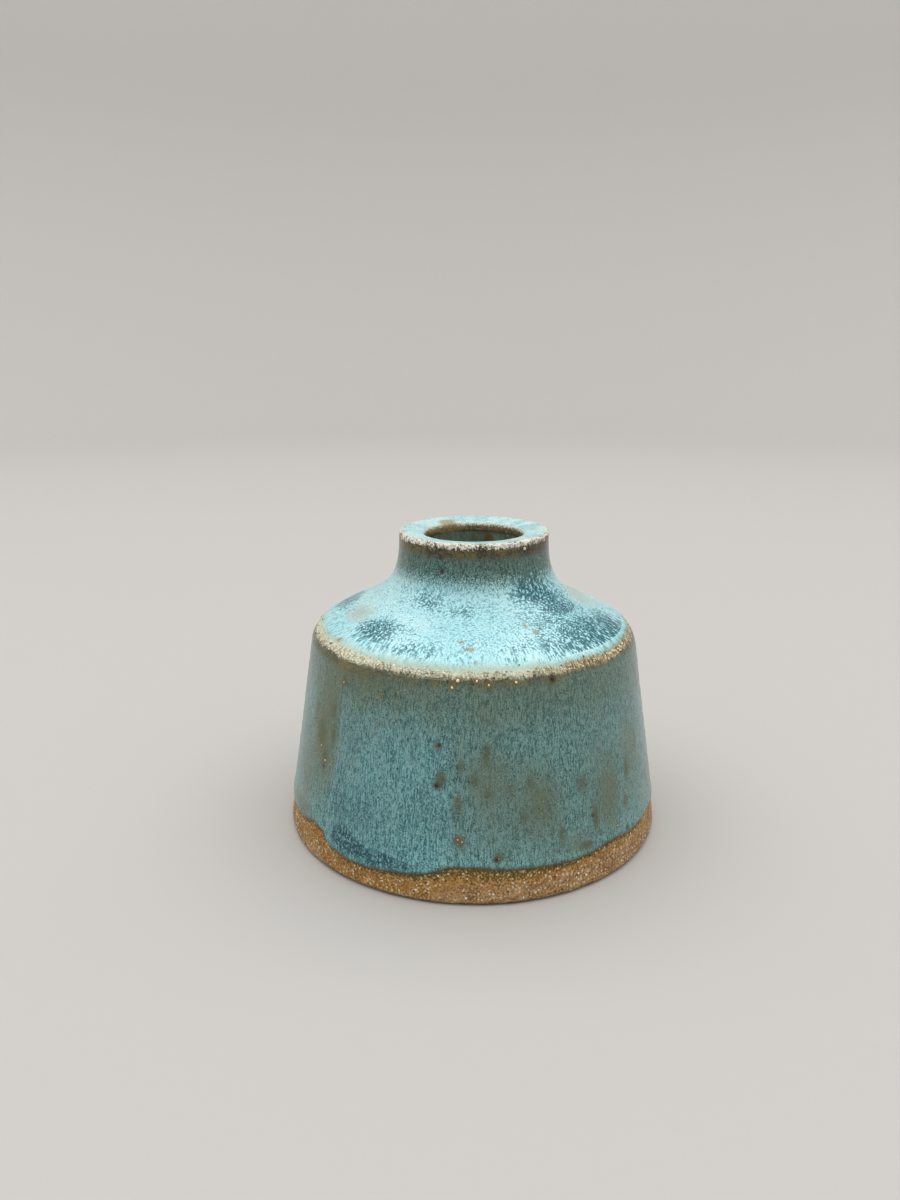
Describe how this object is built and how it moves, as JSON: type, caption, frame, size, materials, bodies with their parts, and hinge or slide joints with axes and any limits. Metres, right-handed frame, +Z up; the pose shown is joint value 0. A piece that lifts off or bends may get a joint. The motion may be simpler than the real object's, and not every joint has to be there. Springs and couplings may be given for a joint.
{
  "type": "ceramic bud vase",
  "caption": "Low wheel-thrown stoneware bud vase: leaning wall, rounded ridge, hollow shoulder, short thick neck, turquoise glaze over a bare clay foot.",
  "frame": {"origin": "middle of the base, on the surface the vase stands on", "axes": "+Z up along the axis of the pot, -Y to the front, +X to the right"},
  "size_m": [0.0798, 0.0798, 0.0629],
  "materials": {
    "stoneware_clay": "bare fired sandy-brown grogged stoneware, dry and matt, darker and ochre just under the glaze line",
    "turquoise_glaze": "satin to glossy turquoise glaze, speckled, streaked downwards, breaking to cream and brown where it is thin over the ridge and rim",
    "blue_glaze_lap": "the same glaze twice as thick, glossier and bluer, with dark teal mottling near its lower edge",
    "liner_glaze": "glossy dark green-teal glaze poured inside, brown where it is thin at the lip",
    "white_grog": "crushed pale fired clay, rough",
    "iron_speck": "dark brown melted iron spot"
  },
  "bodies": {
    "root": {"clay_body": "stoneware_clay", "outer_glaze": "turquoise_glaze", "glaze_lap": "blue_glaze_lap", "liner_glaze": "liner_glaze", "grog_grains": "white_grog", "iron_specks": "iron_speck"}
  },
  "joints": []
}
